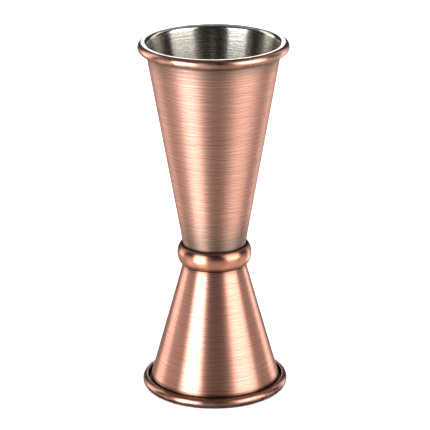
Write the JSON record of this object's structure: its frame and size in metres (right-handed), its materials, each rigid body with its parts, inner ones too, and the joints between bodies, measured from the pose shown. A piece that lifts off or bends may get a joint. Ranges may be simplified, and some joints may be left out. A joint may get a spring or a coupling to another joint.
{
  "type": "bar jigger",
  "caption": "Double-ended measuring jigger: a tall conical cup and a short conical cup joined back to back, with rolled rims and a rounded ring at the waist.",
  "frame": {"origin": "middle of the lower rim plane, where the small cup's rolled rim rests on the bar top", "axes": "+Z along the axis, from the small cup's mouth up to the large cup's mouth; X and Y are free, because the jigger is a solid of revolution"},
  "size_m": [0.0472, 0.0472, 0.114],
  "materials": {
    "copper_plated_steel": "stainless sheet, antique copper plated and brushed round the cup on the outside, bare brushed steel inside",
    "polished_copper_plate": "copper plated and polished",
    "bare_steel": "bare stainless steel, finely brushed round the cup",
    "braze_metal": "as brazed, hidden between the two floors"
  },
  "bodies": {
    "root": {"large_cup": "copper_plated_steel", "small_cup": "copper_plated_steel", "waist_ring": "polished_copper_plate", "floor_braze": "braze_metal"}
  },
  "joints": []
}
